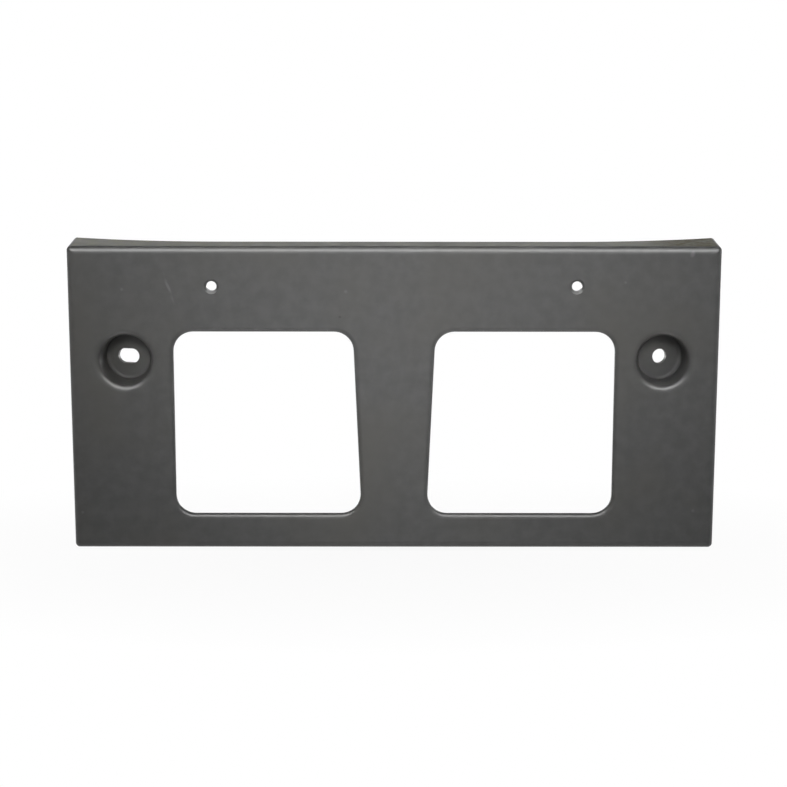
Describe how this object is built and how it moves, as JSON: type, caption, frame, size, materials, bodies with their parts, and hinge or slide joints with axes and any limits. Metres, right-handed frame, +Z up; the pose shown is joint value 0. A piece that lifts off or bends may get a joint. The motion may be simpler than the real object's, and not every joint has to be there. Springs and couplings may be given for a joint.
{
  "type": "number plate holder",
  "caption": "Rectangular moulded plastic number plate holder for a car bumper, with open windows, recessed screw cups, plate screw holes and a skirt curved to the bumper.",
  "frame": {"origin": "middle of the flat front face that the number plate lies on", "axes": "+X to the right as seen from the front, +Y back towards the bumper, +Z up"},
  "size_m": [0.32, 0.0306, 0.1528],
  "materials": {
    "moulded_plastic": "dark grey, fine matt moulded grain"
  },
  "bodies": {
    "root": {"plate_holder": "moulded_plastic"}
  },
  "joints": []
}
